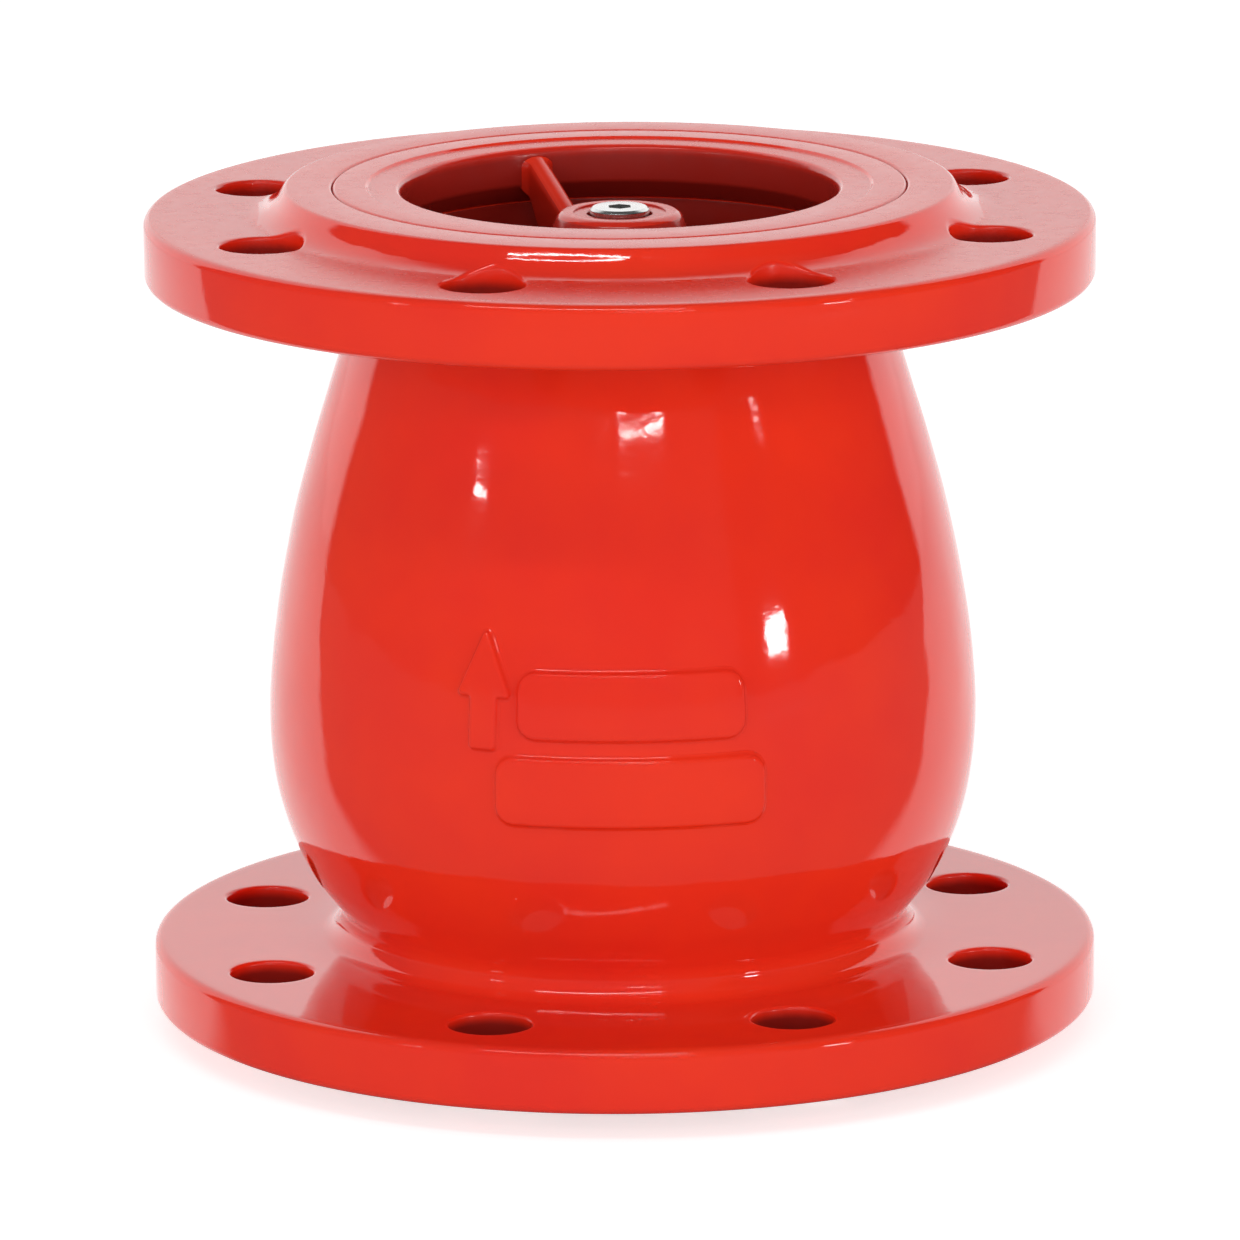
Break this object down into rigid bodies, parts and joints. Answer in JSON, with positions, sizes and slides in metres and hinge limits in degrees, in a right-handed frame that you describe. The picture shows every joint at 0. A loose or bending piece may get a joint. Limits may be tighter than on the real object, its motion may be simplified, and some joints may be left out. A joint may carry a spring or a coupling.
{
  "type": "spring non-return valve",
  "caption": "Flanged axial check valve: barrel body, outlet guide with arms and hub, and a domed disc that slides on a rod against a spring.",
  "frame": {"origin": "centre of the inlet face, which is the part's foot", "axes": "+Z along the flow, from the inlet face up to the outlet face; +X to the right and -Y towards the viewer in the picture, midway between two bolt holes"},
  "size_m": [0.22, 0.22, 0.199],
  "materials": {
    "red_epoxy": "glossy fusion-bonded epoxy over ductile iron, slight orange peel",
    "stainless_steel": "turned stainless steel",
    "spring_steel": "drawn stainless spring wire",
    "bronze": "cast and turned bronze",
    "bearing_polymer": "plain bearing polymer",
    "rubber": "matt black EPDM"
  },
  "bodies": {
    "housing": {"body": "red_epoxy", "guide_spider": "red_epoxy", "rod_screw": "stainless_steel", "rod_lock_washer": "stainless_steel", "guide_rod": "stainless_steel", "rod_end_washer": "stainless_steel", "rod_end_nut": "stainless_steel", "seat_ring": "bronze", "seat_o_ring": "rubber", "spring": "spring_steel", "spring_washer": "stainless_steel"},
    "closing_disc": {"disc": "bronze", "disc_bush": "bearing_polymer", "disc_seal": "rubber", "seal_retainer": "stainless_steel", "retainer_screw_1": "stainless_steel", "retainer_screw_2": "stainless_steel", "retainer_screw_3": "stainless_steel", "retainer_screw_4": "stainless_steel", "retainer_screw_5": "stainless_steel", "retainer_screw_6": "stainless_steel"}
  },
  "joints": [
    {"name": "disc_lift", "type": "slide", "parent": "housing", "child": "closing_disc", "axis": [0, 0, 1], "range_m": [0, 0.025], "stiffness_N_per_m": 640, "springref_m": -0.0375, "deforming": ["spring"]}
  ]
}
